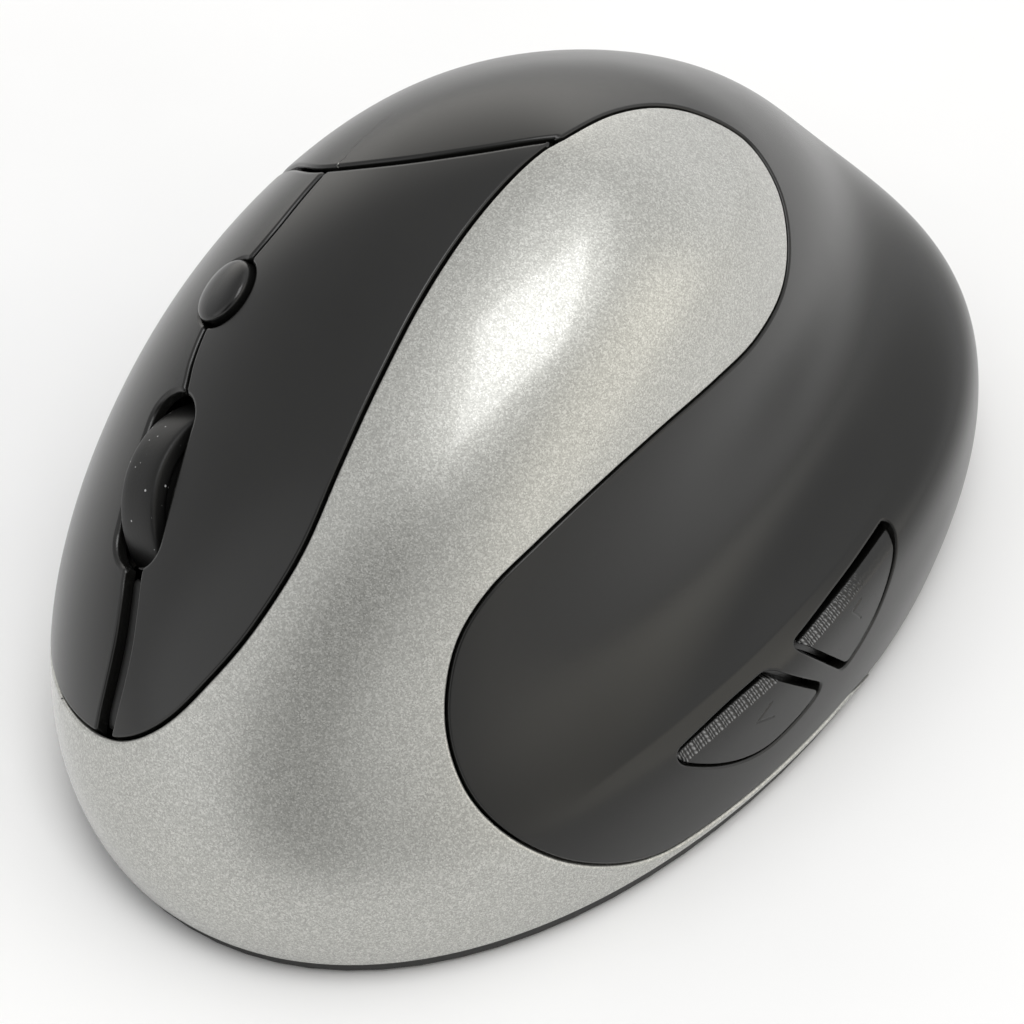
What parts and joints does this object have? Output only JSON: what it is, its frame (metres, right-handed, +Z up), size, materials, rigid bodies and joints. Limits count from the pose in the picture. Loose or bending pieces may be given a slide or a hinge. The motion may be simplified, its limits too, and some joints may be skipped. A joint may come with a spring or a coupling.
{
  "type": "computer mouse",
  "caption": "Right-handed sculpted wireless computer mouse with two keys, scroll wheel, oval button, thumb buttons and a silver front panel.",
  "frame": {"origin": "middle of the footprint, on the surface that the feet stand on", "axes": "+Z up; the nose points to -Y and the tail to +Y; +X is the thumb side of this right-handed mouse"},
  "size_m": [0.0762, 0.1155, 0.0592],
  "materials": {
    "black_satin": "satin soft-touch moulded black",
    "silver_paint": "metallic flake paint under clear coat",
    "key_black": "satin black",
    "gloss_black": "glossy black",
    "wheel_rubber": "smooth matt rubber",
    "inner_plastic": "moulded dark grey",
    "switch_plastic": "moulded black",
    "plunger_white": "smooth",
    "circuit_board": "solder mask green",
    "steel": "zinc plated",
    "contact": "nickel plated spring brass",
    "cell_wrap": "printed sleeve",
    "clear": "clear moulded lens",
    "foot_tape": "smooth low-friction tape"
  },
  "bodies": {
    "housing": {"main_shell": "black_satin", "silver_panel": "silver_paint", "centre_rib": "black_satin", "key_hinge_pin": "steel", "key_frame": "inner_plastic", "key_board": "circuit_board", "left_switch": "switch_plastic", "right_switch": "switch_plastic", "middle_switch": "switch_plastic", "oval_switch": "switch_plastic", "side_board": "circuit_board", "forward_switch": "switch_plastic", "back_switch": "switch_plastic", "bottom_case": "black_satin", "battery_cells": "cell_wrap", "battery_springs": "contact", "battery_contacts": "contact", "main_board": "circuit_board", "optical_sensor": "switch_plastic", "sensor_lens": "clear", "controller_chip": "switch_plastic", "board_screws": "steel", "power_switch": "steel", "case_screws": "steel", "glide_feet": "foot_tape"},
    "left_key": {"left_key": "key_black", "left_key_arm": "inner_plastic"},
    "right_key": {"right_key": "key_black", "right_key_arm": "inner_plastic"},
    "wheel_cradle": {"wheel_carrier": "inner_plastic", "wheel_encoder": "switch_plastic"},
    "wheel": {"wheel_tyre": "wheel_rubber", "wheel_hub": "inner_plastic", "wheel_axle": "steel"},
    "oval_button": {"oval_button": "gloss_black"},
    "forward_button": {"forward_button": "key_black"},
    "back_button": {"back_button": "key_black"},
    "battery_door": {"battery_door": "black_satin"},
    "power_slider": {"power_slider": "inner_plastic"},
    "left_plunger": {"left_plunger": "plunger_white"},
    "right_plunger": {"right_plunger": "plunger_white"},
    "middle_plunger": {"middle_plunger": "plunger_white"},
    "oval_plunger": {"oval_plunger": "switch_plastic"},
    "forward_plunger": {"forward_plunger": "switch_plastic"},
    "back_plunger": {"back_plunger": "switch_plastic"}
  },
  "joints": [
    {"name": "left_key_press", "type": "hinge", "parent": "housing", "child": "left_key", "pos_m": [-0.00958, -0.00096, 0.04912], "axis": [0.8996, -0.2243, 0.3746], "range_deg": [0, 0.9], "stiffness_Nm_per_rad": 1.2},
    {"name": "right_key_press", "type": "hinge", "parent": "housing", "child": "right_key", "pos_m": [-0.00958, -0.00096, 0.04912], "axis": [0.8996, -0.2243, 0.3746], "range_deg": [0, 0.9], "stiffness_Nm_per_rad": 1.2},
    {"name": "wheel_press", "type": "slide", "parent": "housing", "child": "wheel_cradle", "axis": [0.4308, 0.5955, -0.6781], "range_m": [0, 0.0006], "stiffness_N_per_m": 1500},
    {"name": "wheel_spin", "type": "hinge", "parent": "wheel_cradle", "child": "wheel", "pos_m": [-0.01494, -0.0301, 0.03014], "axis": [0.8696, -0.073, 0.4884], "continuous": true},
    {"name": "oval_press", "type": "slide", "parent": "housing", "child": "oval_button", "axis": [0.4308, 0.5955, -0.6781], "range_m": [0, 0.0006], "stiffness_N_per_m": 1200},
    {"name": "forward_press", "type": "slide", "parent": "housing", "child": "forward_button", "axis": [-1, 0, 0], "range_m": [0, 0.0006], "stiffness_N_per_m": 1500},
    {"name": "back_press", "type": "slide", "parent": "housing", "child": "back_button", "axis": [-1, 0, 0], "range_m": [0, 0.0006], "stiffness_N_per_m": 1500},
    {"name": "power_slide", "type": "slide", "parent": "housing", "child": "power_slider", "axis": [0, 1, 0], "range_m": [0, 0.003]},
    {"name": "door_slide", "type": "slide", "parent": "housing", "child": "battery_door", "axis": [0, 1, 0], "range_m": [0, 0.012]},
    {"name": "left_plunger_press", "type": "slide", "parent": "housing", "child": "left_plunger", "axis": [0.4308, 0.5955, -0.6781], "range_m": [0, 0.0007]},
    {"name": "right_plunger_press", "type": "slide", "parent": "housing", "child": "right_plunger", "axis": [0.4308, 0.5955, -0.6781], "range_m": [0, 0.0007]},
    {"name": "middle_plunger_press", "type": "slide", "parent": "housing", "child": "middle_plunger", "axis": [0.4308, 0.5955, -0.6781], "range_m": [0, 0.0007]},
    {"name": "oval_plunger_press", "type": "slide", "parent": "housing", "child": "oval_plunger", "axis": [0.4308, 0.5955, -0.6781], "range_m": [0, 0.0007]},
    {"name": "forward_plunger_press", "type": "slide", "parent": "housing", "child": "forward_plunger", "axis": [-1, 0, 0], "range_m": [0, 0.0007]},
    {"name": "back_plunger_press", "type": "slide", "parent": "housing", "child": "back_plunger", "axis": [-1, 0, 0], "range_m": [0, 0.0007]}
  ],
  "couplings": [
    {"joint": "left_plunger_press", "follows": "left_key_press", "m_per_rad": 0.032},
    {"joint": "right_plunger_press", "follows": "right_key_press", "m_per_rad": 0.028},
    {"joint": "middle_plunger_press", "follows": "wheel_press", "ratio": 1},
    {"joint": "oval_plunger_press", "follows": "oval_press", "ratio": 1},
    {"joint": "forward_plunger_press", "follows": "forward_press", "ratio": 1},
    {"joint": "back_plunger_press", "follows": "back_press", "ratio": 1}
  ]
}
